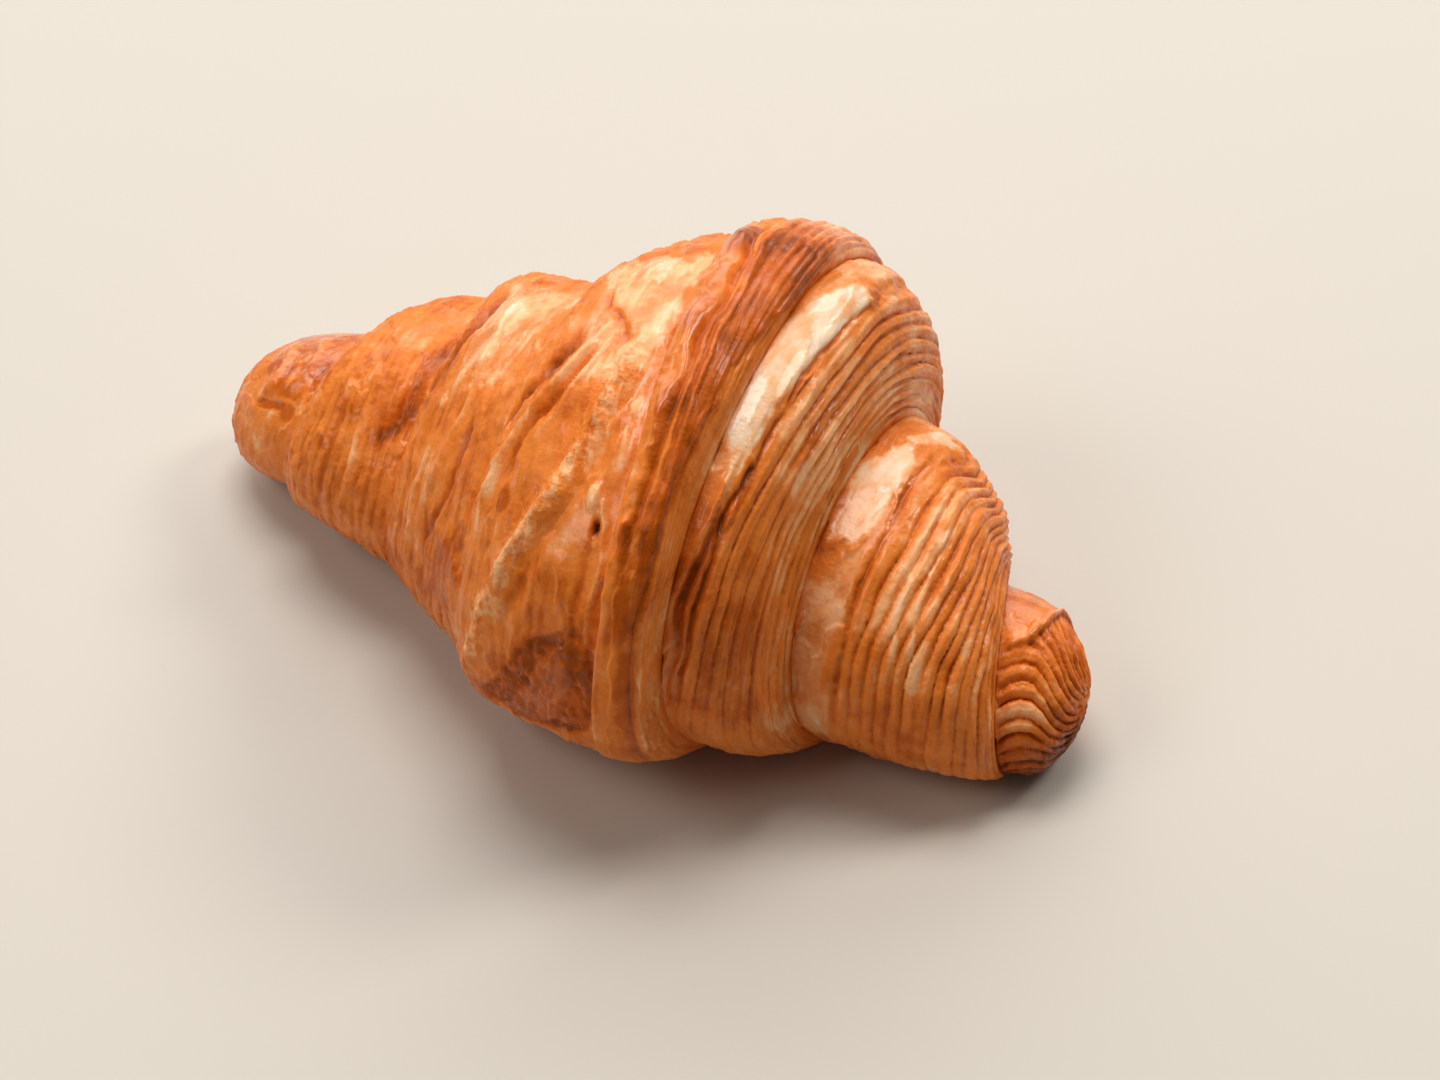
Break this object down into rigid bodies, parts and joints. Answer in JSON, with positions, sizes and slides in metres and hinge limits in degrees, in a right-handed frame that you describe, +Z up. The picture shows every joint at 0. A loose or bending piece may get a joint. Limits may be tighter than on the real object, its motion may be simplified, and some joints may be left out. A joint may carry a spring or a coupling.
{
  "type": "croissant",
  "caption": "Plump baked croissant: nested wraps with ridged shoulders step down from a high crown to two rounded tips, on a flat foot.",
  "frame": {"origin": "centre of the croissant's bounding box, at the bottom, on the surface it lies on", "axes": "+X along the croissant towards its short half, +Y across it towards its back, +Z up"},
  "size_m": [0.1576, 0.1024, 0.0709],
  "materials": {
    "crust": "baked flaky crust, golden to dark brown, with a half-gloss egg wash"
  },
  "bodies": {
    "root": {"croissant": "crust"}
  },
  "joints": []
}
